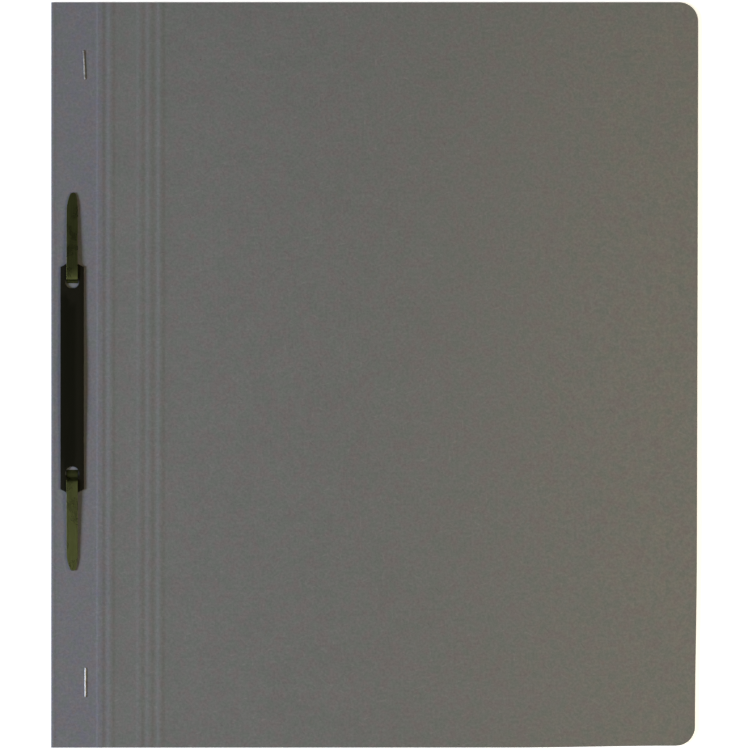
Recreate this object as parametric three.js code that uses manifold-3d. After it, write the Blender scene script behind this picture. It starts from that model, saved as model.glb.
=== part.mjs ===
// Flat file folder, delivered flat and closed, lying on its back cover.
// One sheet of grey board is folded over at the left edge into a back cover, a binding margin and a
// creased front cover. A prong fastener and two wire staples sit in the binding margin.
// Millimetres, +Z up. X runs from the folded edge to the open edge, Y from the foot to the head.

import * as THREE from "three";
import { mergeVertices } from "three/addons/utils/BufferGeometryUtils.js";
import Module from "manifold-3d";

// Board
const FOLDER_WIDTH = 271.7; // folded edge to open edge
const FOLDER_HEIGHT = 313;
const CORNER_RADIUS = 8; // the two corners of the open edge
const BOARD = 0.4; // thickness of the grey board

// Creases, pressed in as raised beads; places are measured from the folded edge
const FIRST_CREASE = 20.75; // a double bead, where the margin ends
const SECOND_CREASE = 25.2;
const CAPACITY_CREASES = [37.5, 41.6, 46.1]; // for thicker stacks of paper
const BEAD_HEIGHT = 0.2;
const BEAD_WIDTH = 2.3; // between the middles of its two flanks
const BEAD_FLANK = 0.8; // width of one flank
const FIRST_BEAD_WIDTH = 2.7;
const FIRST_BEAD_STEP = 0.12; // height of its lower, inner half
const FIRST_BEAD_RIDGE_WIDTH = 1;

// Fastener tongue: one flat metal strip whose two ends come up as prongs
const TONGUE_THICKNESS = 0.3;
const TONGUE_WIDTH = 4.8;
const FASTENER_FROM_FOLD = 8.9; // centre line of the prongs, from the folded edge
const PRONG_SPACING = 80.2; // between the feet of the two prongs
const PRONG_CENTRE_Y = -0.4; // middle between the feet, from mid-height
const HEAD_PRONG_LENGTH = 36.8; // as bent over, from its foot to its tip
const FOOT_PRONG_LENGTH = 41.6;
const PRONG_CREST = 0.55; // clear height of a bend over the cover strip
const TIP_LIFT = 0.35; // clear height of a tip over the board
const HEAD_BEND_REACH = 1.5; // from the foot of the prong to the crest of its bend
const FOOT_BEND_REACH = 4;
const FOOT_BEND_KNEE = 0.6; // where the lower prong leans over, from its foot
const FOOT_KNEE_DROP = 0.7; // height of that knee under the crest
const BASE_BEND_RADIUS = 0.4;
const TOP_BEND_RADIUS = 0.9;
const TIP_LENGTH = 5.8;
const TIP_END_WIDTH = 1.8;
const SLOT_PLAY = 0.35; // round a prong, where it comes up through the board

// Cover strip: flat plastic bar threaded over the prongs
const STRIP_LENGTH = 96.6;
const STRIP_WIDTH = 10.2;
const STRIP_THICKNESS = 0.8;
const STRIP_CENTRE_Y = -1.2; // from mid-height
const STRIP_HOLE_SPACING = 80;
const STRIP_HOLE_RADIUS = 3.15;
const STRIP_CHAMFER_X = 2.3;
const STRIP_CHAMFER_Y = 1.8;
const STRIP_BOW = 0.4; // the rise of its middle between the prongs

// Staples: flattened wire, crown on the margin, legs clinched flush with the underside
const STAPLE_CROWN = 12.4;
const STAPLE_WIRE = 0.6;
const STAPLE_WIRE_HEIGHT = 0.45;
const STAPLE_CLINCH = 4; // length of a clinched leg
const STAPLE_CLINCH_HEIGHT = 0.25;
const STAPLE_BEND_RADIUS = 0.4;
const STAPLE_PLAY = 0.15; // round the wire in the board
const STAPLE_FROM_FOLD = 14.2;
const STAPLE_FROM_END = 27; // staple centre to head, and to foot
const HEAD_STAPLE_TILT = THREE.MathUtils.degToRad(-1.3);

// Facets
const ARC_STEPS = 12;
const FLANK_STEPS = 4;
const BEND_STEPS = 5;
const BOW_STEPS = 16;
const OVERCUT = 1; // how far a cutting or trimming solid stands proud of what it cuts

// Heights that follow from the stack of board, tongue, board and strip
const MARGIN_TOP = 2 * BOARD + TONGUE_THICKNESS;
const UPPER_LAYER = BOARD + TONGUE_THICKNESS; // underside of the margin and of the front cover
const STRIP_TOP = MARGIN_TOP + STRIP_THICKNESS;
const COVER_FOLD = (FIRST_CREASE + SECOND_CREASE) / 2; // the front cover turns about this line

const wasm = await Module();
wasm.setup();
const { Manifold, Mesh: ManifoldMesh } = wasm;

// Turns a closed geometry into a solid that can be joined and cut.
function solidOf(geometry) {
  const bare = geometry.clone();
  bare.deleteAttribute("normal");
  bare.deleteAttribute("uv");
  const merged = mergeVertices(bare, 1e-5);
  return new Manifold(
    new ManifoldMesh({
      numProp: 3,
      vertProperties: merged.getAttribute("position").array,
      triVerts: new Uint32Array(merged.getIndex().array),
    }),
  );
}

// Turns a solid back into a flat-shaded geometry.
function geometryOf(solid) {
  const { vertProperties, triVerts } = solid.getMesh();
  const geometry = new THREE.BufferGeometry();
  geometry.setAttribute("position", new THREE.BufferAttribute(vertProperties, 3));
  geometry.setIndex(new THREE.BufferAttribute(triVerts, 1));
  const facets = geometry.toNonIndexed();
  facets.computeVertexNormals();
  return facets;
}

// A plan outline (X, Y) made a prism from one height to another.
function prism(outline, low, high) {
  const geometry = new THREE.ExtrudeGeometry(outline, {
    depth: high - low,
    bevelEnabled: false,
    curveSegments: ARC_STEPS,
  });
  geometry.translate(0, 0, low);
  return solidOf(geometry);
}

// A section (X, Z) run along Y over the whole height of the folder.
function runAlongY(section, length) {
  const geometry = new THREE.ExtrudeGeometry(section, { depth: length, bevelEnabled: false });
  geometry.rotateX(Math.PI / 2);
  geometry.translate(0, length / 2, 0);
  return solidOf(geometry);
}

// A side view (Y, Z) run along X over a width, centred on x.
function runAlongX(side, width, x) {
  const geometry = new THREE.ExtrudeGeometry(side, { depth: width, bevelEnabled: false });
  geometry.rotateX(Math.PI / 2);
  geometry.rotateZ(Math.PI / 2);
  geometry.translate(x - width / 2, 0, 0);
  return solidOf(geometry);
}

function block(xRange, yRange, zRange) {
  const [[x0, x1], [y0, y1], [z0, z1]] = [xRange, yRange, zRange];
  const geometry = new THREE.BoxGeometry(x1 - x0, y1 - y0, z1 - z0);
  geometry.translate((x0 + x1) / 2, (y0 + y1) / 2, (z0 + z1) / 2);
  return solidOf(geometry);
}

// Board

// Height of one flat-topped bead at x: it climbs and falls over a flank of its own width.
function bead(x, centre, width, height) {
  const rise = THREE.MathUtils.smoothstep(width / 2 - Math.abs(x - centre), -BEAD_FLANK / 2, BEAD_FLANK / 2);
  return height * rise;
}

function firstBead(x) {
  const ridge = FIRST_CREASE + (FIRST_BEAD_WIDTH - FIRST_BEAD_RIDGE_WIDTH) / 2;
  const low = bead(x, FIRST_CREASE, FIRST_BEAD_WIDTH, FIRST_BEAD_STEP);
  return low + bead(x, ridge, FIRST_BEAD_RIDGE_WIDTH, BEAD_HEIGHT - FIRST_BEAD_STEP);
}

function beadHeight(x) {
  const others = [SECOND_CREASE, ...CAPACITY_CREASES];
  return others.reduce((sum, centre) => sum + bead(x, centre, BEAD_WIDTH, BEAD_HEIGHT), firstBead(x));
}

// Places where the section of the board has a point, between two ends.
function beadStations(from, to) {
  const creases = [
    [FIRST_CREASE, FIRST_BEAD_WIDTH],
    [FIRST_CREASE + FIRST_BEAD_WIDTH / 2 - FIRST_BEAD_RIDGE_WIDTH, 0],
    ...[SECOND_CREASE, ...CAPACITY_CREASES].map((centre) => [centre, BEAD_WIDTH]),
  ];
  const stations = new Set([from, to]);
  for (const [centre, width] of creases) {
    for (const side of [-1, 1]) {
      for (let step = 0; step <= FLANK_STEPS; step += 1) {
        const x = centre + (side * width) / 2 + BEAD_FLANK * (step / FLANK_STEPS - 0.5);
        if (x > from && x < to) stations.add(x);
      }
    }
  }
  return [...stations].sort((a, b) => a - b);
}

// The plan of the closed folder: square at the folded edge, rounded at the open edge.
function folderPlan() {
  const half = FOLDER_HEIGHT / 2;
  const inner = FOLDER_WIDTH - CORNER_RADIUS;
  const plan = new THREE.Shape();
  plan.moveTo(-OVERCUT, -half);
  plan.lineTo(inner, -half);
  plan.absarc(inner, CORNER_RADIUS - half, CORNER_RADIUS, -Math.PI / 2, 0);
  plan.absarc(inner, half - CORNER_RADIUS, CORNER_RADIUS, 0, Math.PI / 2);
  plan.lineTo(-OVERCUT, half);
  return plan;
}

function trimmedToPlan(section) {
  const sheet = runAlongY(section, FOLDER_HEIGHT + 2 * OVERCUT);
  return sheet.intersect(prism(folderPlan(), -OVERCUT, MARGIN_TOP + OVERCUT));
}

// Slots in the margin's top layer, where the prongs come up.
function prongSlots() {
  const halfWidth = TONGUE_WIDTH / 2 + SLOT_PLAY;
  const halfSlot = TONGUE_THICKNESS / 2 + SLOT_PLAY;
  const { head, foot } = prongFeet();
  const across = [FASTENER_FROM_FOLD - halfWidth, FASTENER_FROM_FOLD + halfWidth];
  const through = [BOARD + TONGUE_THICKNESS / 2, MARGIN_TOP + OVERCUT];
  return [
    block(across, [head - halfSlot, head + halfSlot], through),
    block(across, [foot - FOOT_BEND_KNEE - halfSlot, foot + halfSlot], through),
  ];
}

// Leg holes and clinch grooves of one staple, turned with it.
function stapleCuts(staple) {
  const half = STAPLE_CROWN / 2;
  const width = [-STAPLE_WIRE / 2 - STAPLE_PLAY, STAPLE_WIRE / 2 + STAPLE_PLAY];
  const cuts = [-1, 1].flatMap((end) => {
    const span = (a, b) => [a * end, b * end].sort((p, q) => p - q);
    const leg = span(half - STAPLE_WIRE_HEIGHT - STAPLE_PLAY, half + STAPLE_PLAY);
    const groove = span(half - STAPLE_CLINCH - STAPLE_PLAY, half + STAPLE_PLAY);
    return [
      block(width, leg, [-OVERCUT, MARGIN_TOP + OVERCUT]),
      block(width, groove, [-OVERCUT, STAPLE_CLINCH_HEIGHT]),
    ];
  });
  const turn = new THREE.Matrix4().makeRotationZ(staple.tilt).setPosition(STAPLE_FROM_FOLD, staple.y, 0);
  return cuts.map((cut) => cut.transform(turn.elements));
}

// Back cover, folded edge and binding margin: one run of board from the open edge, round the fold
// and back as far as the fold line of the front cover.
function backCover() {
  const outer = MARGIN_TOP / 2;
  const inner = TONGUE_THICKNESS / 2;
  const stations = beadStations(outer, COVER_FOLD);
  const section = new THREE.Shape();
  section.moveTo(FOLDER_WIDTH + OVERCUT, 0);
  section.lineTo(outer, 0);
  section.absarc(outer, outer, outer, -Math.PI / 2, Math.PI / 2, true);
  for (const x of stations) section.lineTo(x, MARGIN_TOP + beadHeight(x));
  for (const x of stations.toReversed()) section.lineTo(x, UPPER_LAYER + beadHeight(x));
  section.absarc(outer, outer, inner, Math.PI / 2, -Math.PI / 2, false);
  section.lineTo(FOLDER_WIDTH + OVERCUT, BOARD);
  const cuts = [...prongSlots(), ...STAPLES.flatMap(stapleCuts)];
  return cuts.reduce((board, cut) => board.subtract(cut), trimmedToPlan(section));
}

function frontCover() {
  const stations = beadStations(COVER_FOLD, FOLDER_WIDTH + OVERCUT);
  const surface = (height) => stations.map((x) => new THREE.Vector2(x, height + beadHeight(x)));
  return trimmedToPlan(new THREE.Shape([...surface(UPPER_LAYER), ...surface(MARGIN_TOP).reverse()]));
}

// Fastener

function prongFeet() {
  return { head: PRONG_CENTRE_Y + PRONG_SPACING / 2, foot: PRONG_CENTRE_Y - PRONG_SPACING / 2 };
}

// A line through corner points (each a point and a bend radius), rounded at the corners.
function bentLine(corners) {
  const path = new THREE.Path();
  path.moveTo(corners[0].point.x, corners[0].point.y);
  for (let i = 1; i < corners.length - 1; i += 1) {
    const { point, radius } = corners[i];
    const before = point.clone().add(corners[i - 1].point.clone().sub(point).setLength(radius));
    const after = point.clone().add(corners[i + 1].point.clone().sub(point).setLength(radius));
    path.lineTo(before.x, before.y);
    path.quadraticCurveTo(point.x, point.y, after.x, after.y);
  }
  const last = corners.at(-1).point;
  path.lineTo(last.x, last.y);
  return path.getPoints(BEND_STEPS);
}

// A strip of even thickness along a centre line, as a closed side view.
function thickened(line, thickness) {
  const side = (sign) =>
    line.map((point, i) => {
      const into = point.clone().sub(line[Math.max(i - 1, 0)]).normalize();
      const out = line[Math.min(i + 1, line.length - 1)].clone().sub(point).normalize();
      const along = into.add(out).normalize();
      const normal = new THREE.Vector2(-along.y, along.x);
      return point.clone().addScaledVector(normal, (sign * thickness) / 2);
    });
  return new THREE.Shape([...side(1), ...side(-1).reverse()]);
}

// Bullet-shaped ends on a strip of even width.
function tonguePlan(headTip, footTip) {
  const half = TONGUE_WIDTH / 2;
  const end = TIP_END_WIDTH / 2;
  const x = FASTENER_FROM_FOLD;
  const plan = new THREE.Shape();
  plan.moveTo(x - half, footTip + TIP_LENGTH);
  plan.quadraticCurveTo(x - half, footTip + TIP_LENGTH / 4, x - end, footTip);
  plan.lineTo(x + end, footTip);
  plan.quadraticCurveTo(x + half, footTip + TIP_LENGTH / 4, x + half, footTip + TIP_LENGTH);
  plan.lineTo(x + half, headTip - TIP_LENGTH);
  plan.quadraticCurveTo(x + half, headTip - TIP_LENGTH / 4, x + end, headTip);
  plan.lineTo(x - end, headTip);
  plan.quadraticCurveTo(x - half, headTip - TIP_LENGTH / 4, x - half, headTip - TIP_LENGTH);
  return plan;
}

// The base lies captive between the margin's two layers. The upper prong stands up straight and turns
// over sharply, the lower one leans over as it rises; both come down towards the board at their tips.
function tongue() {
  const { head, foot } = prongFeet();
  const headTip = head + HEAD_PRONG_LENGTH;
  const footTip = foot - FOOT_PRONG_LENGTH;
  const base = BOARD + TONGUE_THICKNESS / 2;
  const crest = STRIP_TOP + PRONG_CREST + TONGUE_THICKNESS / 2;
  const tip = MARGIN_TOP + TIP_LIFT + TONGUE_THICKNESS / 2;
  const corner = (y, z, radius) => ({ point: new THREE.Vector2(y, z), radius });
  const line = bentLine([
    corner(headTip, tip, 0),
    corner(head + HEAD_BEND_REACH, crest, TOP_BEND_RADIUS),
    corner(head, crest, HEAD_BEND_REACH - TOP_BEND_RADIUS),
    corner(head, base, BASE_BEND_RADIUS),
    corner(foot, base, BASE_BEND_RADIUS),
    corner(foot - FOOT_BEND_KNEE, crest - FOOT_KNEE_DROP, BASE_BEND_RADIUS),
    corner(foot - FOOT_BEND_REACH, crest, TOP_BEND_RADIUS),
    corner(footTip, tip, 0),
  ]);
  const strip = runAlongX(thickened(line, TONGUE_THICKNESS), TONGUE_WIDTH + 2 * OVERCUT, FASTENER_FROM_FOLD);
  return strip.intersect(prism(tonguePlan(headTip, footTip), -OVERCUT, crest + OVERCUT));
}

function stripPlan() {
  const halfWidth = STRIP_WIDTH / 2;
  const halfLength = STRIP_LENGTH / 2;
  const corners = [
    [halfWidth - STRIP_CHAMFER_X, halfLength],
    [halfWidth, halfLength - STRIP_CHAMFER_Y],
  ];
  const quarter = corners.map(([x, y]) => new THREE.Vector2(x, y));
  const mirrored = (points, sx, sy) => points.map((p) => new THREE.Vector2(p.x * sx, p.y * sy));
  const outline = [
    ...mirrored(quarter, 1, 1),
    ...mirrored(quarter, 1, -1).reverse(),
    ...mirrored(quarter, -1, -1),
    ...mirrored(quarter, -1, 1).reverse(),
  ];
  const centre = new THREE.Vector2(FASTENER_FROM_FOLD, STRIP_CENTRE_Y);
  const plan = new THREE.Shape(outline.reverse().map((point) => point.add(centre)));
  for (const end of [-1, 1]) {
    const hole = new THREE.Path();
    const y = STRIP_CENTRE_Y + (end * STRIP_HOLE_SPACING) / 2;
    hole.absarc(FASTENER_FROM_FOLD, y, STRIP_HOLE_RADIUS, 0, 2 * Math.PI);
    plan.holes.push(hole);
  }
  return plan;
}

// Flat on the board at both ends, where the prongs hold it down, and bowed up a little between them.
function coverStrip() {
  const flat = STRIP_HOLE_SPACING / 2 - STRIP_HOLE_RADIUS;
  const half = STRIP_LENGTH / 2 + OVERCUT;
  const line = [new THREE.Vector2(STRIP_CENTRE_Y - half, 0)];
  for (let step = 0; step <= BOW_STEPS; step += 1) {
    const share = (2 * step) / BOW_STEPS - 1;
    const rise = (STRIP_BOW * (1 + Math.cos(Math.PI * share))) / 2;
    line.push(new THREE.Vector2(STRIP_CENTRE_Y + share * flat, rise));
  }
  line.push(new THREE.Vector2(STRIP_CENTRE_Y + half, 0));
  const lifted = (height) => line.map((point) => new THREE.Vector2(point.x, point.y + height));
  const side = new THREE.Shape([...lifted(MARGIN_TOP), ...lifted(STRIP_TOP).reverse()]);
  const bar = runAlongX(side, STRIP_WIDTH + 2 * OVERCUT, FASTENER_FROM_FOLD);
  return bar.intersect(prism(stripPlan(), 0, STRIP_TOP + STRIP_BOW + OVERCUT));
}

// Staples

const STAPLES = [
  { name: "staple_upper", y: FOLDER_HEIGHT / 2 - STAPLE_FROM_END, tilt: HEAD_STAPLE_TILT },
  { name: "staple_lower", y: STAPLE_FROM_END - FOLDER_HEIGHT / 2, tilt: 0 },
];

// A flat-wire staple seen from the side: crown on top, both legs turned inwards underneath.
function staple() {
  const half = STAPLE_CROWN / 2;
  const legInside = half - STAPLE_WIRE_HEIGHT;
  const legEnd = half - STAPLE_CLINCH;
  const top = MARGIN_TOP + STAPLE_WIRE_HEIGHT;
  const r = STAPLE_BEND_RADIUS;
  const low = STAPLE_CLINCH_HEIGHT;
  const side = new THREE.Shape();
  side.moveTo(-legEnd, 0);
  side.lineTo(-legEnd, low);
  side.lineTo(-legInside, low);
  side.lineTo(-legInside, MARGIN_TOP);
  side.lineTo(legInside, MARGIN_TOP);
  side.lineTo(legInside, low);
  side.lineTo(legEnd, low);
  side.lineTo(legEnd, 0);
  side.lineTo(half - r, 0);
  side.absarc(half - r, r, r, -Math.PI / 2, 0);
  side.absarc(half - r, top - r, r, 0, Math.PI / 2);
  side.absarc(r - half, top - r, r, Math.PI / 2, Math.PI);
  side.absarc(r - half, r, r, Math.PI, 1.5 * Math.PI);
  return runAlongX(side, STAPLE_WIRE, 0);
}

// Assembly

const greyBoard = new THREE.MeshStandardMaterial({ color: 0x69675f, roughness: 0.95, metalness: 0 });
const oliveLacquer = new THREE.MeshStandardMaterial({ color: 0x44462b, roughness: 0.45, metalness: 0.6 });
const blackPlastic = new THREE.MeshStandardMaterial({ color: 0x15150f, roughness: 0.55, metalness: 0 });
const stapleSteel = new THREE.MeshStandardMaterial({ color: 0xb4b4ae, roughness: 0.35, metalness: 1 });

function piece(name, solid, material) {
  const mesh = new THREE.Mesh(geometryOf(solid), material);
  mesh.name = name;
  return mesh;
}

const folder = new THREE.Group();
folder.name = "flat_file_folder";
folder.position.x = -FOLDER_WIDTH / 2;
folder.add(piece("back_cover", backCover(), greyBoard));
folder.add(piece("front_cover", frontCover(), greyBoard));
folder.add(piece("fastener_tongue", tongue(), oliveLacquer));
folder.add(piece("cover_strip", coverStrip(), blackPlastic));
for (const { name, y, tilt } of STAPLES) {
  const wire = piece(name, staple(), stapleSteel);
  wire.position.set(STAPLE_FROM_FOLD, y, 0);
  wire.rotation.z = tilt;
  folder.add(wire);
}

export default folder;
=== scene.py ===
"""Studio scene of a flat file folder: grey board, a prong fastener with its black strip, two staples."""

import logging
import math
from collections.abc import Callable
from dataclasses import dataclass, field
from enum import Enum

import bpy
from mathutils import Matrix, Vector


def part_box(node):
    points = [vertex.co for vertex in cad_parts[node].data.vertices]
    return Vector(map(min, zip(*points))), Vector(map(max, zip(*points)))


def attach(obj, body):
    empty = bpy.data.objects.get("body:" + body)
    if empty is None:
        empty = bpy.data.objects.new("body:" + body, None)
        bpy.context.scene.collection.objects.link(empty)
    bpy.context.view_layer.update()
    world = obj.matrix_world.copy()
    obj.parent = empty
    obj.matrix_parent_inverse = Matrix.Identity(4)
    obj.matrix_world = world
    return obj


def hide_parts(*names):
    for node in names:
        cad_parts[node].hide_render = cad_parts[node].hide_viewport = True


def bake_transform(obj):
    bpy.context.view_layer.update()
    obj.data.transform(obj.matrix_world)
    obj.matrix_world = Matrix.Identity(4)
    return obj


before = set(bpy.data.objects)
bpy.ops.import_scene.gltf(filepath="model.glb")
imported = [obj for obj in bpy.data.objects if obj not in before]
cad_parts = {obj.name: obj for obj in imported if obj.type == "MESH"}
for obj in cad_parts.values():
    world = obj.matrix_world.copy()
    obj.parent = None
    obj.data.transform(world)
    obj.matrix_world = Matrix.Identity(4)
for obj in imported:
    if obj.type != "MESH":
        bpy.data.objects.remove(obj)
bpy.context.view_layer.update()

log = logging.getLogger("folder")
logging.basicConfig(level=logging.INFO, format="%(message)s")

MM = 0.001

# The sockets of a range node, in its own order. Ranges ease in and out between their ends.
VALUE, FROM_MIN, FROM_MAX, TO_MIN, TO_MAX = range(5)
EASE = {"interpolation_type": "SMOOTHSTEP"}
# A mix node's colour sockets share their names with others, so they go by number.
FACTOR, FIRST, SECOND = 0, 6, 7
MIX = {"data_type": "RGBA", "out": 2}

Colour = tuple[float, float, float, float]


class Body(Enum):
    """The two rigid bodies of the folder."""

    BACK = "back"
    FRONT = "front"


class Slot(Enum):
    """The record's material slots."""

    BOARD = "grey_board"
    TONGUE = "lacquered_steel"
    STRIP = "black_plastic"
    WIRE = "staple_wire"


class Across(Enum):
    """The axis that a ribbon's width lies along. Its line runs along the other one."""

    X = 0
    Y = 1


class Kind(Enum):
    """The shader nodes that the finishes use."""

    COORDINATES = "ShaderNodeTexCoord"
    PRINCIPLED = "ShaderNodeBsdfPrincipled"
    OUTPUT = "ShaderNodeOutputMaterial"
    SPLIT_PLACE = "ShaderNodeSeparateXYZ"
    RANGE = "ShaderNodeMapRange"
    MIX = "ShaderNodeMix"
    NOISE = "ShaderNodeTexNoise"
    JOIN_COLOUR = "ShaderNodeCombineColor"
    SPLIT_COLOUR = "ShaderNodeSeparateColor"
    MAPPING = "ShaderNodeMapping"
    CELLS = "ShaderNodeTexVoronoi"
    MATH = "ShaderNodeMath"
    BUMP = "ShaderNodeBump"
    GEOMETRY = "ShaderNodeNewGeometry"


def linear(hex_colour: str) -> Colour:
    """Turns an sRGB hex colour to the linear values that shaders take.

    Args:
        hex_colour: six hex digits after a hash sign.

    Returns:
        Linear red, green, blue, and an alpha of one.
    """
    shares = [int(hex_colour[i : i + 2], 16) / 255 for i in (1, 3, 5)]
    red, green, blue = (s / 12.92 if s <= 0.04045 else ((s + 0.055) / 1.055) ** 2.4 for s in shares)
    return red, green, blue, 1.0


def per(size_mm: float) -> float:
    """The scale of a texture whose features are size_mm apart, on coordinates in metres."""
    return 1 / (size_mm * MM)


def add(tree: bpy.types.NodeTree, kind: Kind, inputs: dict | None = None, out: int | str = 0,
        **settings) -> bpy.types.NodeSocket | None:
    """Adds a shader node with its settings and links.

    Args:
        tree: the material's node tree.
        kind: the node's type.
        inputs: input name or number to a value, or to the output that feeds it.
        out: which of its outputs is wanted.
        settings: the node's own properties.

    Returns:
        That output, or None for the material's output node.
    """
    made = tree.nodes.new(kind.value)
    for name, value in settings.items():
        setattr(made, name, value)
    for key, value in (inputs or {}).items():
        if isinstance(value, bpy.types.NodeSocket):
            tree.links.new(value, made.inputs[key])
        else:
            made.inputs[key].default_value = value
    return made.outputs[out] if made.outputs else None


@dataclass(frozen=True)
class Finish:
    """What a surface is made of. Each kind says what the shader takes."""

    name: str

    def shading(self, tree: bpy.types.NodeTree, where: bpy.types.NodeSocket) -> dict:
        """Lays out the pattern nodes.

        Args:
            tree: the material's node tree.
            where: object coordinates, in metres.

        Returns:
            The inputs of the Principled shader.
        """
        raise NotImplementedError

    def material(self) -> bpy.types.Material:
        """Builds the material.

        Returns:
            The finished material.
        """
        material = bpy.data.materials.new(self.name)
        material.use_nodes = True
        tree = material.node_tree
        tree.nodes.clear()
        where = add(tree, Kind.COORDINATES, out="Object")
        shader = add(tree, Kind.PRINCIPLED, self.shading(tree, where))
        add(tree, Kind.OUTPUT, {"Surface": shader})
        return material


@dataclass(frozen=True)
class FibreSet:
    """Loose fibres of one colour that lie about one way."""

    turn: float
    rarity: float
    strength: float
    colour: str


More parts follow.
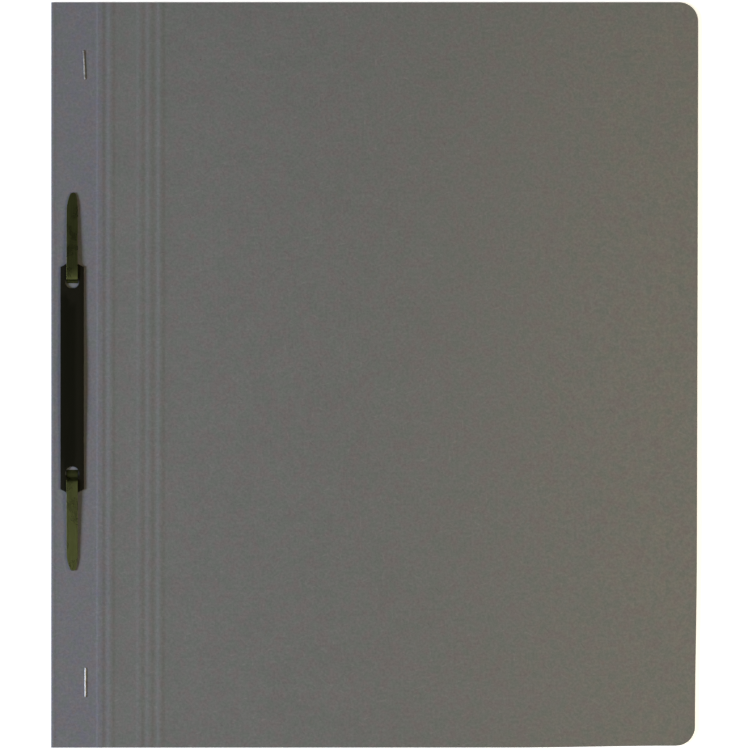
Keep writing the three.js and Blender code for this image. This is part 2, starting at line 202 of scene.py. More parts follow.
@dataclass(frozen=True)
class GreyBoard(Finish):
    """Recycled grey board, pressed from waste paper and left uncoated.

    The eye sees a dead matt grey with a soft mottle, faint greenish and reddish patches, dark specks of
    old ink, and a few fibres. Painted light makes the margin cooler and the open side warmer and paler.
    """

    name: str = "recycled_grey_board"
    pulp: str = "#65655f"
    pale_pulp: str = "#6b6b65"
    greenish: str = "#60685d"
    reddish: str = "#6e6360"
    # Painted light: a cool tint over the margin stands in for the cool lamp's light.
    painted_cool_light: str = "#66656a"
    # Painted light: a warmer, paler colour towards the open side stands in for the warm lamp's light.
    painted_warm_light: str = "#706e63"
    speck: str = "#34332f"
    cloud_mm: float = 16.0
    mottle_mm: float = 3.0
    # Pulp grains are about 0.1 mm across. Drawn at 1.1 mm, so that they show at all from this far.
    grain_mm: float = 1.1
    grain_contrast: float = 0.105
    grain_relief_mm: float = 0.03
    mottle_relief_mm: float = 0.06
    tint_mm: float = 4.0
    # One fibre is 30 microns thick. Drawn as bundles of 0.35 mm, so that a few of them show.
    fibre_mm: float = 0.7
    fibre_length_mm: float = 4.0
    fibres: tuple[FibreSet, ...] = (
        FibreSet(18, 0.70, 0.16, "#8b8980"),
        FibreSet(97, 0.71, 0.16, "#8b8980"),
        FibreSet(150, 0.70, 0.14, "#8b8980"),
        FibreSet(60, 0.73, 0.22, "#7a5b50"),
        FibreSet(128, 0.74, 0.2, "#34332f"),
    )
    speck_gap_mm: float = 12.0
    speck_mm: float = 0.3
    # Where the painted cool light over the margin begins and where it is full.
    painted_cool_from_mm: float = -108.0
    painted_cool_to_mm: float = -118.0
    # Where the painted warm light begins and where it is full.
    painted_warm_from_mm: float = -35.0
    painted_warm_to_mm: float = 140.0
    roughness: float = 0.92
    specular: float = 0.15

    def shading(self, tree: bpy.types.NodeTree, where: bpy.types.NodeSocket) -> dict:
        """Lays out the pattern nodes.

        Args:
            tree: the material's node tree.
            where: object coordinates, in metres.

        Returns:
            The inputs of the Principled shader.
        """
        across = add(tree, Kind.SPLIT_PLACE, {"Vector": where})
        # Painted light: the colour turns warmer and paler towards the open side.
        painted_warm_share = add(tree, Kind.RANGE,
                     {VALUE: across, FROM_MIN: self.painted_warm_from_mm * MM,
                      FROM_MAX: self.painted_warm_to_mm * MM}, **EASE)
        # Painted light: the colour turns cooler over the margin.
        painted_cool_light = add(tree, Kind.RANGE,
                   {VALUE: across, FROM_MIN: self.painted_cool_from_mm * MM,
                    FROM_MAX: self.painted_cool_to_mm * MM}, **EASE)
        colour = add(tree, Kind.MIX,
                     {FACTOR: painted_warm_share, FIRST: linear(self.pulp), SECOND: linear(self.painted_warm_light)}, **MIX)
        colour = add(tree, Kind.MIX, {FACTOR: painted_cool_light, FIRST: colour, SECOND: linear(self.painted_cool_light)}, **MIX)
        clouds = add(tree, Kind.NOISE, {"Vector": where, "Scale": per(self.cloud_mm), "Detail": 2})
        mottle = add(tree, Kind.NOISE,
                     {"Vector": where, "Scale": per(self.mottle_mm), "Detail": 3, "Roughness": 0.6})
        for pattern, most in ((clouds, 0.35), (mottle, 0.6)):
            share = add(tree, Kind.RANGE,
                        {VALUE: pattern, FROM_MIN: 0.35, FROM_MAX: 0.65, TO_MAX: most}, **EASE)
            colour = add(tree, Kind.MIX,
                         {FACTOR: share, FIRST: colour, SECOND: linear(self.pale_pulp)}, **MIX)
        tint = add(tree, Kind.NOISE, {"Vector": where, "Scale": per(self.tint_mm), "Detail": 2})
        for low, high, hue in ((0.51, 0.64, self.greenish), (0.49, 0.36, self.reddish)):
            share = add(tree, Kind.RANGE,
                        {VALUE: tint, FROM_MIN: low, FROM_MAX: high, TO_MAX: 0.4}, **EASE)
            colour = add(tree, Kind.MIX, {FACTOR: share, FIRST: colour, SECOND: linear(hue)}, **MIX)
        grain = add(tree, Kind.NOISE,
                    {"Vector": where, "Scale": per(self.grain_mm), "Detail": 2, "Roughness": 0.7})
        shade = add(tree, Kind.RANGE,
                    {VALUE: grain, FROM_MIN: 0.25, FROM_MAX: 0.75,
                     TO_MIN: 1 - self.grain_contrast, TO_MAX: 1 + self.grain_contrast}, **EASE)
        grey = add(tree, Kind.JOIN_COLOUR, {"Red": shade, "Green": shade, "Blue": shade})
        colour = add(tree, Kind.MIX,
                     {FACTOR: 1.0, FIRST: colour, SECOND: grey}, blend_type="MULTIPLY", **MIX)
        for fibre in self.fibres:
            turned = add(tree, Kind.MAPPING,
                         {"Vector": where, "Rotation": (0, 0, math.radians(fibre.turn)),
                          "Scale": (self.fibre_length_mm / self.fibre_mm, 1, 1),
                          "Location": (fibre.turn * MM, 0, 0)}, vector_type="TEXTURE")
            streak = add(tree, Kind.NOISE,
                         {"Vector": turned, "Scale": per(self.fibre_mm),
                          "Detail": 1, "Distortion": 0.4})
            share = add(tree, Kind.RANGE,
                        {VALUE: streak, FROM_MIN: fibre.rarity, FROM_MAX: fibre.rarity + 0.05,
                         TO_MAX: fibre.strength}, **EASE)
            colour = add(tree, Kind.MIX,
                         {FACTOR: share, FIRST: colour, SECOND: linear(fibre.colour)}, **MIX)
        cell = add(tree, Kind.CELLS, {"Vector": where, "Scale": per(self.speck_gap_mm)}, out="Distance")
        reach = self.speck_mm / self.speck_gap_mm
        spot = add(tree, Kind.RANGE,
                   {VALUE: cell, FROM_MIN: reach * 0.5, FROM_MAX: reach,
                    TO_MIN: 1.0, TO_MAX: 0.0}, **EASE)
        chance = add(tree, Kind.SPLIT_COLOUR, {"Color": cell.node.outputs["Color"]})
        chosen = add(tree, Kind.RANGE,
                     {VALUE: chance, FROM_MIN: 0.4, FROM_MAX: 1.0, TO_MAX: 0.8}, **EASE)
        share = add(tree, Kind.MATH, {0: spot, 1: chosen}, operation="MULTIPLY")
        colour = add(tree, Kind.MIX, {FACTOR: share, FIRST: colour, SECOND: linear(self.speck)}, **MIX)
        fine = add(tree, Kind.BUMP,
                   {"Strength": 0.3, "Distance": self.grain_relief_mm * MM, "Height": grain})
        normal = add(tree, Kind.BUMP,
                     {"Strength": 0.2, "Distance": self.mottle_relief_mm * MM,
                      "Height": mottle, "Normal": fine})
        return {"Base Color": colour, "Roughness": self.roughness,
                "Specular IOR Level": self.specular, "Normal": normal}


@dataclass(frozen=True)
class OliveLacquer(Finish):
    """Thin olive lacquer on cold-rolled steel strip.

    The eye sees a dark satin green through which the metal still mirrors, with faint rolling
    lines along it.
    """

    name: str = "olive_lacquered_steel"
    lacquer: str = "#808651"
    deep: str = "#646a3a"
    roll_line_mm: float = 0.5
    roll_length_mm: float = 14.0
    cloud_mm: float = 5.0
    line_relief_mm: float = 0.005
    metallic: float = 1.0
    roughness: float = 0.28

    def shading(self, tree: bpy.types.NodeTree, where: bpy.types.NodeSocket) -> dict:
        """Lays out the pattern nodes.

        Args:
            tree: the material's node tree.
            where: object coordinates, in metres.

        Returns:
            The inputs of the Principled shader.
        """
        along = add(tree, Kind.MAPPING,
                    {"Vector": where, "Scale": (1, self.roll_line_mm / self.roll_length_mm, 1)})
        lines = add(tree, Kind.NOISE, {"Vector": along, "Scale": per(self.roll_line_mm), "Detail": 2})
        cloud = add(tree, Kind.NOISE, {"Vector": where, "Scale": per(self.cloud_mm), "Detail": 3})
        share = add(tree, Kind.RANGE,
                    {VALUE: lines, FROM_MIN: 0.35, FROM_MAX: 0.65, TO_MAX: 0.35}, **EASE)
        colour = add(tree, Kind.MIX,
                     {FACTOR: share, FIRST: linear(self.lacquer), SECOND: linear(self.deep)}, **MIX)
        share = add(tree, Kind.RANGE,
                    {VALUE: cloud, FROM_MIN: 0.35, FROM_MAX: 0.7, TO_MAX: 0.4}, **EASE)
        colour = add(tree, Kind.MIX, {FACTOR: share, FIRST: colour, SECOND: linear(self.deep)}, **MIX)
        rough = add(tree, Kind.RANGE,
                    {VALUE: cloud, FROM_MIN: 0.3, FROM_MAX: 0.7,
                     TO_MIN: self.roughness - 0.03, TO_MAX: self.roughness + 0.05}, **EASE)
        normal = add(tree, Kind.BUMP,
                     {"Strength": 0.1, "Distance": self.line_relief_mm * MM, "Height": lines})
        return {"Base Color": colour, "Metallic": self.metallic, "Roughness": rough, "Normal": normal}


@dataclass(frozen=True)
class BlackPolypropylene(Finish):
    """Black polypropylene, extruded flat and punched.

    The eye sees a nearly matt black, a touch brown, with fine scuffs and slightly paler edges.
    """

    name: str = "black_polypropylene"
    black: str = "#12120a"
    scuffed: str = "#191810"
    grain_mm: float = 0.5
    scuff_mm: float = 2.4
    scuff_length_mm: float = 14.0
    grain_relief_mm: float = 0.01
    roughness: float = 0.45
    specular: float = 0.02

    def shading(self, tree: bpy.types.NodeTree, where: bpy.types.NodeSocket) -> dict:
        """Lays out the pattern nodes.

        Args:
            tree: the material's node tree.
            where: object coordinates, in metres.

        Returns:
            The inputs of the Principled shader.
        """
        along = add(tree, Kind.MAPPING,
                    {"Vector": where, "Scale": (1, self.scuff_mm / self.scuff_length_mm, 1)})
        scuff = add(tree, Kind.NOISE,
                    {"Vector": along, "Scale": per(self.scuff_mm), "Detail": 4, "Roughness": 0.65})
        grain = add(tree, Kind.NOISE, {"Vector": where, "Scale": per(self.grain_mm), "Detail": 2})
        share = add(tree, Kind.RANGE,
                    {VALUE: scuff, FROM_MIN: 0.5, FROM_MAX: 0.75, TO_MAX: 0.3}, **EASE)
        colour = add(tree, Kind.MIX,
                     {FACTOR: share, FIRST: linear(self.black), SECOND: linear(self.scuffed)}, **MIX)
        edge = add(tree, Kind.GEOMETRY, out="Pointiness")
        worn = add(tree, Kind.RANGE, {VALUE: edge, FROM_MIN: 0.52, FROM_MAX: 0.6, TO_MAX: 0.9}, **EASE)
        colour = add(tree, Kind.MIX, {FACTOR: worn, FIRST: colour, SECOND: linear(self.scuffed)}, **MIX)
        rough = add(tree, Kind.RANGE,
                    {VALUE: scuff, FROM_MIN: 0.3, FROM_MAX: 0.7,
                     TO_MIN: self.roughness + 0.06, TO_MAX: self.roughness - 0.06}, **EASE)
        normal = add(tree, Kind.BUMP,
                     {"Strength": 0.2, "Distance": self.grain_relief_mm * MM, "Height": grain})
        return {"Base Color": colour, "Roughness": rough,
                "Specular IOR Level": self.specular, "Normal": normal}


@dataclass(frozen=True)
class GalvanisedWire(Finish):
    """Zinc-coated steel wire, drawn flat.

    The eye sees bright metal with draw lines along it. Where it has tarnished it is a soft grey.
    """

    name: str = "galvanised_staple_wire"
    zinc: str = "#f0eee6"
    tarnish: str = "#8d8c86"
    tarnished: float = 0.3
    draw_line_mm: float = 0.2
    draw_length_mm: float = 5.0
    line_relief_mm: float = 0.01
    blotch_mm: float = 1.6
    roughness: float = 0.6

    def shading(self, tree: bpy.types.NodeTree, where: bpy.types.NodeSocket) -> dict:
        """Lays out the pattern nodes.

        Args:
            tree: the material's node tree.
            where: object coordinates, in metres.

        Returns:
            The inputs of the Principled shader.
        """
        along = add(tree, Kind.MAPPING,
                    {"Vector": where, "Scale": (1, self.draw_line_mm / self.draw_length_mm, 1)})
        lines = add(tree, Kind.NOISE, {"Vector": along, "Scale": per(self.draw_line_mm), "Detail": 2})
        blotch = add(tree, Kind.NOISE, {"Vector": where, "Scale": per(self.blotch_mm), "Detail": 3})
        low = self.tarnished * 0.6
        high = min(self.tarnished * 1.6, 1.0)
        share = add(tree, Kind.RANGE,
                    {VALUE: blotch, FROM_MIN: 0.3, FROM_MAX: 0.7, TO_MIN: low, TO_MAX: high}, **EASE)
        colour = add(tree, Kind.MIX,
                     {FACTOR: share, FIRST: linear(self.zinc), SECOND: linear(self.tarnish)}, **MIX)
        rough = add(tree, Kind.RANGE,
                    {VALUE: blotch, FROM_MIN: 0.3, FROM_MAX: 0.7,
                     TO_MIN: self.roughness, TO_MAX: self.roughness + 0.2 * self.tarnished}, **EASE)
        normal = add(tree, Kind.BUMP,
                     {"Strength": 0.3, "Distance": self.line_relief_mm * MM, "Height": lines})
        return {"Base Color": colour, "Metallic": 1.0, "Roughness": rough, "Normal": normal}


@dataclass(frozen=True)
class LitPaper(Finish):
    """White background paper over a light table, so pale that no shadow stays on it."""

    name: str = "background_paper"
    white: str = "#f6f6f4"
    clouded: str = "#f0f0ee"
    cloud_mm: float = 60.0
    glow: float = 0.62

    def shading(self, tree: bpy.types.NodeTree, where: bpy.types.NodeSocket) -> dict:
        """Lays out the pattern nodes.

        Args:
            tree: the material's node tree.
            where: object coordinates, in metres.

        Returns:
            The inputs of the Principled shader.
        """
        cloud = add(tree, Kind.NOISE, {"Vector": where, "Scale": per(self.cloud_mm), "Detail": 2})
        colour = add(tree, Kind.MIX,
                     {FACTOR: cloud, FIRST: linear(self.white), SECOND: linear(self.clouded)}, **MIX)
        return {"Base Color": colour, "Roughness": 0.9, "Specular IOR Level": 0.1,
                "Emission Color": linear(self.white), "Emission Strength": self.glow}


def only(obj: bpy.types.Object) -> None:
    """Makes one object the only selected one, and the active one.

    Args:
        obj: the object.
    """
    bpy.ops.object.select_all(action="DESELECT")
    obj.select_set(True)
    bpy.context.view_layer.objects.active = obj


def select_where(obj: bpy.types.Object, test: Callable[[Vector], bool]) -> None:
    """Selects the vertices whose place passes a test, in edit mode.

    Args:
        obj: the object, in edit mode.
        test: takes a vertex's place, and says whether it is selected.
    """
    bpy.ops.mesh.select_mode(type="VERT")
    bpy.ops.mesh.select_all(action="DESELECT")
    bpy.ops.object.mode_set(mode="OBJECT")
    for vertex in obj.data.vertices:
        vertex.select = test(vertex.co)
    bpy.ops.object.mode_set(mode="EDIT")


def apply_modifier(obj: bpy.types.Object, kind: str, **settings) -> None:
    """Adds a modifier and applies it.

    Args:
        obj: the object.
        kind: the modifier's type.
        settings: its properties.
    """
    modifier = obj.modifiers.new(kind.title(), kind)
    for name, value in settings.items():
        setattr(modifier, name, value)
    only(obj)
    bpy.ops.object.modifier_apply(modifier=modifier.name)


def cut(obj: bpy.types.Object, cutters: list[bpy.types.Object]) -> None:
    """Cuts slots and holes.

    Args:
        obj: the piece.
        cutters: the blocks to take away, which are deleted afterwards.
    """
    for cutter in cutters:
        apply_modifier(obj, "BOOLEAN", operation="DIFFERENCE", object=cutter, solver="EXACT")
        bpy.data.objects.remove(cutter)


def round_edges(obj: bpy.types.Object, radius_mm: float, segments: int = 2) -> None:
    """Rounds every sharp edge of a piece.

    Args:
        obj: the piece.
        radius_mm: how far the rounding reaches.
        segments: its steps.
    """
    apply_modifier(obj, "BEVEL", width=radius_mm * MM, segments=segments, limit_method="ANGLE",
                   angle_limit=math.radians(50), use_clamp_overlap=True)


def dress(obj: bpy.types.Object, finish: Finish, angle: float = 35.0) -> None:
    """Shades a piece and gives it its only material.

    Args:
        obj: the piece.
        finish: what it is made of.
        angle: edges flatter than this, in degrees, are shaded smooth.
    """
    only(obj)
    bpy.ops.object.shade_smooth_by_angle(angle=math.radians(angle))
    obj.data.materials.clear()
    obj.data.materials.append(finish.material())


def rigid(obj: bpy.types.Object, node: str) -> None:
    """Puts a piece on the back, in place of one CAD node."""
    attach(obj, Body.BACK.value)
    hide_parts(node)


def cad_copy(node: str, name: str) -> bpy.types.Object:
    """Copies a CAD node's mesh, and merges it.

    Args:
        node: the node.
        name: the new object's name.

    Returns:
        The copy.
    """
    obj = bpy.data.objects.new(name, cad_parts[node].data.copy())
    bpy.context.scene.collection.objects.link(obj)
    only(obj)
    bpy.ops.object.mode_set(mode="EDIT")
    bpy.ops.mesh.select_all(action="SELECT")
    bpy.ops.mesh.remove_doubles(threshold=0.005 * MM)
    bpy.ops.mesh.dissolve_limited(angle_limit=math.radians(0.5))
    bpy.ops.object.mode_set(mode="OBJECT")
    return obj


@dataclass(frozen=True)
class Station:
    """A point of a ribbon's middle line. All in millimetres."""

    along: float
    height: float
    half: float
    drift: float = 0.0


@dataclass
class Ribbon:
    """A flat strip of even thickness that follows a line, as sheet and strip stock do."""

    name: str
    line: list[Station]
    across: Across
    rows: int
    thickness: float
    middle: float = 0.0

    def place(self, along: float, across: float, height: float) -> tuple[float, float, float]:
        """Turns ribbon directions to those of the frame.

        Args:
            along: along the line.
            across: across the width.
            height: up.

        Returns:
            X, Y and Z, in metres.
        """
        if self.across is Across.Y:
            return along * MM, across * MM, height * MM
        return across * MM, along * MM, height * MM

    def widened(self, share: float) -> tuple[float, float, float]:
        """A factor for the width alone."""
        return (1, share, 1) if self.across is Across.Y else (share, 1, 1)

    def build(self) -> bpy.types.Object:
        """Draws the strip as one column of faces, extruded from station to station.

        Returns:
            The strip, still without thickness.
        """
        start = self.line[0]
        along = 1 - self.across.value
        cuts = (1, self.rows) if self.across is Across.Y else (self.rows, 1)
        bpy.ops.object.select_all(action="DESELECT")
        bpy.ops.mesh.primitive_grid_add(x_subdivisions=cuts[0], y_subdivisions=cuts[1], size=2 * MM,
                                        location=self.place(start.along + 1, self.middle, start.height))
        obj = bpy.context.object
        obj.name = obj.data.name = self.name
        bpy.ops.object.transform_apply()
        bpy.ops.object.mode_set(mode="EDIT")
        pivot = self.place(0, self.middle, 0)
        edge = (start.along + 1) * MM
        select_where(obj, lambda co: co[along] > edge)
        bpy.ops.mesh.delete(type="VERT")
        bpy.ops.mesh.select_all(action="SELECT")
        bpy.ops.transform.resize(value=self.widened(start.half), center_override=pivot)
        bpy.ops.transform.translate(value=self.place(0, start.drift, 0))
        for last, step in zip(self.line, self.line[1:]):
            move = self.place(step.along - last.along, -last.drift, step.height - last.height)
            bpy.ops.mesh.extrude_region_move(TRANSFORM_OT_translate={"value": move})
            bpy.ops.transform.resize(value=self.widened(step.half / last.half), center_override=pivot)
            bpy.ops.transform.translate(value=self.place(0, step.drift, 0))
        bpy.ops.object.mode_set(mode="OBJECT")
        return obj

    def thicken(self, obj: bpy.types.Object) -> None:
        """Gives the strip its thickness, half to each side.

        Args:
            obj: the strip as built.
        """
        apply_modifier(obj, "SOLIDIFY", thickness=self.thickness * MM, offset=0, use_even_offset=True)
        bpy.ops.object.mode_set(mode="EDIT")
        bpy.ops.mesh.select_all(action="SELECT")
        bpy.ops.mesh.normals_make_consistent(inside=False)
        bpy.ops.object.mode_set(mode="OBJECT")


@dataclass(frozen=True)
class StaplePlace:
    """How far one staple was driven from its CAD place. In millimetres, and in degrees clockwise."""

    node: str
    shift: tuple[float, float]
    turn: float

    def copy(self, name: str, sunk: float = 0.0) -> bpy.types.Object:
        """Copies the CAD staple to its place.

        Args:
            name: the new object's name.
            sunk: how much lower it lies.

        Returns:
            The copy.
        """
        obj = cad_copy(self.node, name)
        low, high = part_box(self.node)
        bpy.ops.object.mode_set(mode="EDIT")
        bpy.ops.mesh.select_all(action="SELECT")
        centre = (low + high) / 2
        bpy.ops.transform.rotate(value=math.radians(self.turn), orient_axis="Z", center_override=centre)
        bpy.ops.transform.translate(value=(self.shift[0] * MM, self.shift[1] * MM, -sunk * MM))
        bpy.ops.object.mode_set(mode="OBJECT")
        return obj


DRIVEN_STAPLES = (
    StaplePlace("staple_upper", (-0.35, 0.7), -4.0),
    StaplePlace("staple_lower", (0.2, 0.45), 0.0),
)


@dataclass(frozen=True)
class Bead:
    """One crease, pressed up as a soft bead with a flank on either side. In millimetres."""

    centre: float
    width: float = 2.3
    height: float = 0.2
    rise: float = 1.6
    fall: float = 1.6

    def at(self, x: float) -> float:
        """Works out its height at one place.

        Args:
            x: the distance from the folded edge.

        Returns:
            The height.
        """
        climbed = (x - self.centre + self.width / 2) / self.rise + 0.5
        left = (self.centre + self.width / 2 - x) / self.fall + 0.5
        share = min(max(min(climbed, left), 0), 1)
        return self.height * share * share * (3 - 2 * share)

    def stations(self, steps: int = 6) -> list[float]:
        """Places across both flanks."""
        sides = ((self.centre - self.width / 2, self.rise), (self.centre + self.width / 2, self.fall))
        return [side + flank * (step / steps - 0.5)
                for side, flank in sides for step in range(steps + 1)]


@dataclass(frozen=True)
class Pull:
    """A small fault: the sheet moved at one place, fading out round it. In millimetres."""

    x: tuple[float, float]
    y: tuple[float, float]
    move: tuple[float, float, float]
    reach: float
    falloff: str = "SMOOTH"


@dataclass
class FoldedBoard:
    """The sheet of grey board: back cover, rounded fold, margin and front cover. In millimetres."""

    finish: GreyBoard
    beads: tuple[Bead, ...] = (
        Bead(1.0, 1.4, 0.1, 1.2, 1.2),
        Bead(20.75, 2.8, 0.21, 1.05, 1.7),
        Bead(25.2, 2.3, 0.185, 1.6, 1.8),
        Bead(37.5, 2.3, 0.14, 1.6, 1.7),
        Bead(41.6, 2.3, 0.165, 1.6, 2.0),
        Bead(46.1, 2.3, 0.205, 1.6, 2.2),
    )
    first_crease: float = 20.75
    second_crease: float = 25.2
    corner_radius: float = 8.0
    corner_steps: int = 10
    fold_steps: int = 10
    flat_from: float = 0.9
    field_step: float = 8.0
    rows: int = 64
    staple_play: float = 0.02
    pulls: tuple[Pull, ...] = (
        Pull((265, 272), (-157, -147), (-0.75, 0.1, 0), 280, "LINEAR"),
        Pull((262, 272), (-157, -146), (-0.6, 0.75, 0), 70),
        Pull((270, 272), (-60, 40), (0, 0, 0.3), 110),
    )
    left: float = field(init=False)
    width: float = field(init=False)
    half: float = field(init=False)
    top: float = field(init=False)
    board: float = field(init=False)

    def __post_init__(self) -> None:
        """Takes the sheet's outer sizes from the frame."""
        low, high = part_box("back_cover")
        self.left = low.x / MM
        self.width = (high.x - low.x) / MM
        self.half = high.y / MM
        self.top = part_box("cover_strip")[0].z / MM
        self.board = self.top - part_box("front_cover")[0].z / MM

    def relief(self, x: float) -> float:
        """The height of the creases at x, from the folded edge."""
        return sum(bead.at(x) for bead in self.beads)

    def open_edge(self, height: float) -> list[Station]:
        """Stations round the corners of the open edge.

        Args:
            height: the middle of the sheet.

        Returns:
            The stations, from where the corners start.
        """
        inner = self.width - self.corner_radius
        turns = [math.pi / 2 * step / self.corner_steps for step in range(self.corner_steps + 1)]
        return [Station(self.left + inner + self.corner_radius * math.sin(turn), height,
                        self.half - self.corner_radius * (1 - math.cos(turn))) for turn in turns]

    def columns(self, start: float, creased: bool) -> list[float]:
        """Distances from the folded edge at which the flat sheet has a column, before its corners.

        Args:
            start: the first of them.
            creased: whether the creases have columns of their own.

        Returns:
            The distances in rising order.
        """
        creases = [x for bead in self.beads for x in bead.stations() if creased and x > start + 0.05]
        count = int((self.width - self.corner_radius - start) / self.field_step)
        plain = [start + self.field_step * step for step in range(count + 1)]
        clear = [x for x in plain if x == start or all(abs(x - crease) > 1.5 for crease in creases)]
        return sorted({round(x, 3) for x in clear + creases})

    def front_line(self) -> list[Station]:
        """Follows the front sheet round the fold, over the margin and the creases.

        Returns:
            The stations of its middle line.
        """
        radius = (self.top - self.board) / 2
        centre = self.top / 2
        turns = [math.pi / 2 + math.pi * step / self.fold_steps for step in range(self.fold_steps + 1)]
        axis = self.left + centre
        fold = [Station(axis + radius * math.cos(turn), centre - radius * math.sin(turn), self.half)
                for turn in turns]
        middle = self.top - self.board / 2
        flat = [Station(self.left + x, middle + self.relief(x), self.half)
                for x in self.columns(self.flat_from, creased=True)]
        return fold + flat + self.open_edge(middle)

    def back_line(self) -> list[Station]:
        """Follows the back sheet from the fold to the open edge.

        Returns:
            The stations of its middle line.
        """
        middle = self.board / 2
        flat = [Station(self.left + x, middle, self.half)
                for x in self.columns(self.top / 2, creased=False)]
        return flat + self.open_edge(middle)

    def sheet(self, name: str, line: list[Station]) -> bpy.types.Object:
        """Draws one sheet, with its small faults and its thickness.

        Args:
            name: the new object's name.
            line: its middle line.

        Returns:
            The sheet.
        """
        ribbon = Ribbon(name, line, Across.Y, self.rows, self.board)
        obj = ribbon.build()
        only(obj)
        bpy.ops.object.mode_set(mode="EDIT")
        for pull in self.pulls:
            x_low, x_high = ((self.left + x) * MM for x in pull.x)
            y_low, y_high = (y * MM for y in pull.y)
            select_where(obj, lambda co: x_low < co.x < x_high and y_low < co.y < y_high)
            bpy.ops.transform.translate(value=[part * MM for part in pull.move],
                                        use_proportional_edit=True,
                                        proportional_edit_falloff=pull.falloff,
                                        proportional_size=pull.reach * MM)
        bpy.ops.object.mode_set(mode="OBJECT")
        ribbon.thicken(obj)
        return obj

    def staple_holes(self) -> list[bpy.types.Object]:
        """Copies of the staples, a hair lower, that cut their own holes and grooves."""
        return [place.copy(f"{place.node}_cutter", self.staple_play) for place in DRIVEN_STAPLES]

    def build(self, slots: list[bpy.types.Object]) -> list[bpy.types.Object]:
        """Builds and dresses both sheets.

        Args:
            slots: the blocks that cut the prong slots in the margin.

        Returns:
            The front sheet and the back sheet.
        """
        front = self.sheet("board_front", self.front_line())
        cut(front, slots + self.staple_holes())
        back = self.sheet("board_back", self.back_line())
        cut(back, self.staple_holes())
        for obj in (front, back):
            dress(obj, self.finish, 40)
        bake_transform(front)
        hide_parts("front_cover")
        rigid(back, "back_cover")
        return [front, back]


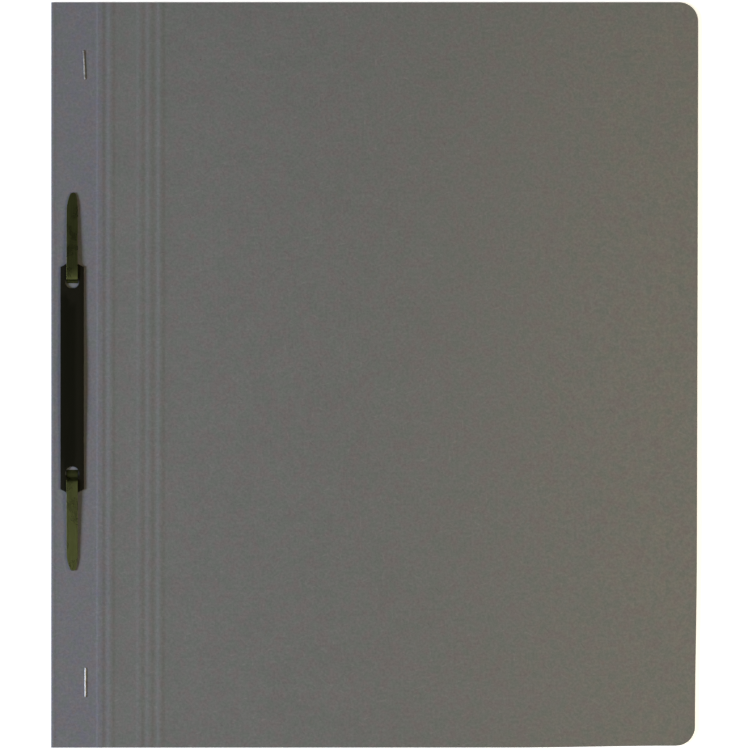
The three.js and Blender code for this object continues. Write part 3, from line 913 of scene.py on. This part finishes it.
@dataclass
class Fastener:
    """The prong fastener: an olive tongue with two prongs, and the black strip over it.

    All sizes are in millimetres.
    """

    lacquer: OliveLacquer
    plastic: BlackPolypropylene
    tongue_width: float = 4.7
    tongue_thickness: float = 0.3
    base_height: float = 0.55
    upper_foot: float = 39.5
    lower_foot: float = -40.9
    tip_taper: tuple[tuple[float, float], ...] = (
        (0.0, 1.0), (0.2, 0.96), (0.4, 0.88), (0.6, 0.77),
        (0.76, 0.64), (0.88, 0.51), (0.96, 0.38), (1.0, 0.26))
    # Points of each bend: the distance from the foot, and the height of the strip's middle.
    upper_rise: tuple[tuple[float, float], ...] = (
        (0.0, 0.52), (0.0, 1.3), (0.03, 1.55), (0.15, 1.88), (0.4, 2.177),
        (0.75, 2.377), (1.5, 2.456), (2.2, 2.511), (3.2, 2.563), (4.6, 2.6))
    lower_rise: tuple[tuple[float, float], ...] = (
        (0.0, 0.88), (0.7, 0.92), (1.5, 0.97), (2.1, 1.05), (2.5, 1.35),
        (2.9, 1.9), (3.3, 2.4), (3.7, 2.58), (4.2, 2.6))
    crest: float = 2.6
    tip_clearance: float = 0.45
    tip_drift: float = 0.35
    tip_length: float = 6.6
    strip_width: float = 9.8
    strip_thickness: float = 0.8
    strip_ends: tuple[float, float] = (-49.2, 46.6)
    strip_end_width: float = 5.2
    strip_chamfer: float = 1.25
    strip_bow: float = 0.4
    bow_steps: int = 16
    holes: tuple[float, float] = (-41.3, 39.2)
    hole_radius: float = 2.9
    slot_spans: tuple[tuple[float, float], ...] = ((-43.6, -39.75), (38.5, 40.6))
    slot_play: float = 0.4
    middle: float = field(init=False)
    margin: float = field(init=False)
    tips: tuple[float, float] = field(init=False)

    def __post_init__(self) -> None:
        """Takes the fastener's place from the frame."""
        low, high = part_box("fastener_tongue")
        self.middle = (low.x + high.x) / 2 / MM
        self.tips = (low.y / MM, high.y / MM)
        self.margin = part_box("cover_strip")[0].z / MM

    def block(self, size: tuple[float, float, float],
              place: tuple[float, float, float]) -> bpy.types.Object:
        """Makes a block to cut with.

        Args:
            size: its sides.
            place: its middle.

        Returns:
            The block, with its place in its mesh.
        """
        bpy.ops.object.select_all(action="DESELECT")
        bpy.ops.mesh.primitive_cube_add(size=MM, location=[part * MM for part in place], scale=size)
        bpy.ops.object.transform_apply()
        return bpy.context.object

    def slots(self) -> list[bpy.types.Object]:
        """Makes what cuts the slots in the margin's top layer.

        Returns:
            One block for each prong.
        """
        width = self.tongue_width + 2 * self.slot_play
        return [self.block((width, high - low, 1.0), (self.middle, (low + high) / 2, self.margin))
                for low, high in self.slot_spans]

    def prong(self, rise: tuple[tuple[float, float], ...], foot: float, tip: float) -> list[Station]:
        """One prong, from its foot to its tip.

        Args:
            rise: points of the bend, as distances from the foot and heights.
            foot: where it leaves the slot.
            tip: where it ends.

        Returns:
            The stations, from the foot outwards.
        """
        side = 1 if tip > foot else -1
        half = self.tongue_width / 2
        bend = [Station(foot + side * along, height, half) for along, height in rise]
        start = bend[-1].along
        crest = self.crest
        low = self.margin + self.tip_clearance
        run = tip - start
        steps = (0.02, 0.12, 0.3, 0.5, 0.7)
        runs = [Station(start + run * step, crest + (low - crest) * step, half) for step in steps]
        ends = []
        for share, kept in self.tip_taper:
            narrow = half * kept
            along = tip - side * self.tip_length * (1 - share)
            height = crest + (low - crest) * (along - start) / run
            ends.append(Station(along, height, narrow, self.tip_drift * share))
        return bend + runs + ends

    def tongue(self) -> bpy.types.Object:
        """Builds the tongue from one strip: captive base, both bends and both prongs.

        Returns:
            The tongue.
        """
        base = self.base_height
        upper = self.prong(self.upper_rise, self.upper_foot, self.tips[1])
        lower = self.prong(self.lower_rise, self.lower_foot, self.tips[0])
        half = self.tongue_width / 2
        places = (self.lower_foot + 1.2, -20.0, 0.0, 20.0, self.upper_foot - 1.0)
        hidden = [Station(y, base, half) for y in places]
        line = lower[::-1] + hidden + upper
        ribbon = Ribbon("prong_tongue", line, Across.X, 6, self.tongue_thickness, self.middle)
        obj = ribbon.build()
        ribbon.thicken(obj)
        round_edges(obj, 0.05, 1)
        return obj

    def strip(self) -> bpy.types.Object:
        """Builds the cover strip: bowed up between its two holes, with cut corners.

        Returns:
            The strip.
        """
        low, high = self.strip_ends
        half = self.strip_width / 2
        centre = self.margin + self.strip_thickness / 2
        inner = [self.holes[0] + self.hole_radius, self.holes[1] - self.hole_radius]
        end_half = self.strip_end_width / 2
        line = [Station(low, centre, end_half), Station(low + self.strip_chamfer, centre, half)]
        for step in range(self.bow_steps + 1):
            share = step / self.bow_steps
            rise = self.strip_bow * (1 - math.cos(2 * math.pi * share)) / 2
            line.append(Station(inner[0] + (inner[1] - inner[0]) * share, centre + rise, half))
        line += [Station(high - self.strip_chamfer, centre, half), Station(high, centre, end_half)]
        ribbon = Ribbon("cover_bar", line, Across.X, 4, self.strip_thickness, self.middle)
        obj = ribbon.build()
        ribbon.thicken(obj)
        drills = []
        for y in self.holes:
            bpy.ops.object.select_all(action="DESELECT")
            bpy.ops.mesh.primitive_cylinder_add(vertices=64, radius=self.hole_radius * MM, depth=4 * MM,
                                                location=(self.middle * MM, y * MM, centre * MM))
            bpy.ops.object.transform_apply()
            drills.append(bpy.context.object)
        cut(obj, drills)
        round_edges(obj, 0.16, 3)
        return obj

    def build(self) -> list[bpy.types.Object]:
        """Builds and dresses the tongue and the strip.

        Returns:
            Both pieces.
        """
        tongue, strip = self.tongue(), self.strip()
        dress(tongue, self.lacquer, 18)
        rigid(tongue, "fastener_tongue")
        dress(strip, self.plastic)
        rigid(strip, "cover_strip")
        return [tongue, strip]


@dataclass
class Staples:
    """Two wire staples: the upper one has dulled, the lower one is still bright."""

    dull: GalvanisedWire
    bright: GalvanisedWire
    radius: float = 0.12

    def build(self) -> list[bpy.types.Object]:
        """Builds and dresses both staples.

        Returns:
            The upper and the lower one.
        """
        made = []
        names = ("upper_staple", "lower_staple")
        for place, name, finish in zip(DRIVEN_STAPLES, names, (self.dull, self.bright)):
            staple = place.copy(name)
            round_edges(staple, self.radius, 3)
            dress(staple, finish)
            rigid(staple, place.node)
            made.append(staple)
        return made


@dataclass(frozen=True)
class SoftBox:
    """A square lamp that looks at the folder. Its size and place are in metres."""

    name: str
    colour: str
    watts: float
    size: float
    place: tuple[float, float, float]

    def hang(self) -> None:
        """Hangs the lamp."""
        lamp = bpy.data.lights.new(self.name, "AREA")
        lamp.shape = "SQUARE"
        lamp.size = self.size
        lamp.energy = self.watts
        lamp.color = linear(self.colour)[:3]
        obj = bpy.data.objects.new(self.name, lamp)
        obj.location = self.place
        obj.rotation_euler = (-Vector(self.place)).to_track_quat("-Z", "Y").to_euler()
        bpy.context.scene.collection.objects.link(obj)


@dataclass
class Studio:
    """White paper, soft light from both sides and the foot, and a camera straight above."""

    paper: LitPaper
    lamps: tuple[SoftBox, ...] = (
        SoftBox("cool_key", "#d9e3ff", 28.8, 0.5, (-1.2, -0.15, 0.67)),
        SoftBox("warm_fill", "#ffedc4", 5.2, 0.35, (0.65, -0.1, 0.65)),
        SoftBox("foot_panel", "#ffffff", 2.0, 0.5, (0.0, -0.65, 1.6)),
    )
    view_mm: float = 314.87
    centre_mm: tuple[float, float] = (0.14, 0.0)
    lens: float = 250.0
    sensor: float = 36.0
    surround: str = "#ffffff"
    surround_strength: float = 0.02

    def floor(self) -> None:
        """Lays the paper that the folder lies on."""
        bpy.ops.object.select_all(action="DESELECT")
        bpy.ops.mesh.primitive_plane_add(size=16, location=(0, 0, -0.02 * MM))
        bpy.ops.object.transform_apply()
        floor = bpy.context.object
        floor.name = "studio_floor"
        floor.data.materials.append(self.paper.material())

    def light(self) -> None:
        """Hangs the lamps and sets the light all round."""
        for lamp in self.lamps:
            lamp.hang()
        world = bpy.data.worlds.new("studio")
        world.use_nodes = True
        background = world.node_tree.nodes["Background"]
        background.inputs[0].default_value = linear(self.surround)
        background.inputs[1].default_value = self.surround_strength
        bpy.context.scene.world = world

    def camera(self) -> None:
        """Hangs the camera straight above, far away with a long lens, so that nothing converges."""
        camera = bpy.data.cameras.new("camera")
        camera.lens = self.lens
        camera.sensor_width = self.sensor
        camera.clip_end = 20
        obj = bpy.data.objects.new("camera", camera)
        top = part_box("cover_strip")[0].z
        distance = self.view_mm * MM * self.lens / self.sensor
        obj.location = (self.centre_mm[0] * MM, self.centre_mm[1] * MM, top + distance)
        bpy.context.scene.collection.objects.link(obj)
        bpy.context.scene.camera = obj

    def build(self) -> None:
        """Sets up the whole studio."""
        self.floor()
        self.light()
        self.camera()
        bpy.context.scene.view_settings.view_transform = "Standard"


def main() -> None:
    """Builds the folder and its studio, and logs each piece."""
    Studio(LitPaper()).build()
    fastener = Fastener(OliveLacquer(), BlackPolypropylene())
    pieces = FoldedBoard(GreyBoard()).build(fastener.slots())
    pieces += fastener.build()
    pieces += Staples(GalvanisedWire("dulled_staple_wire", tarnished=0.9), GalvanisedWire()).build()
    for piece in pieces:
        log.info("%s: %d faces", piece.name, len(piece.data.polygons))


if __name__ == "__main__":
    main()
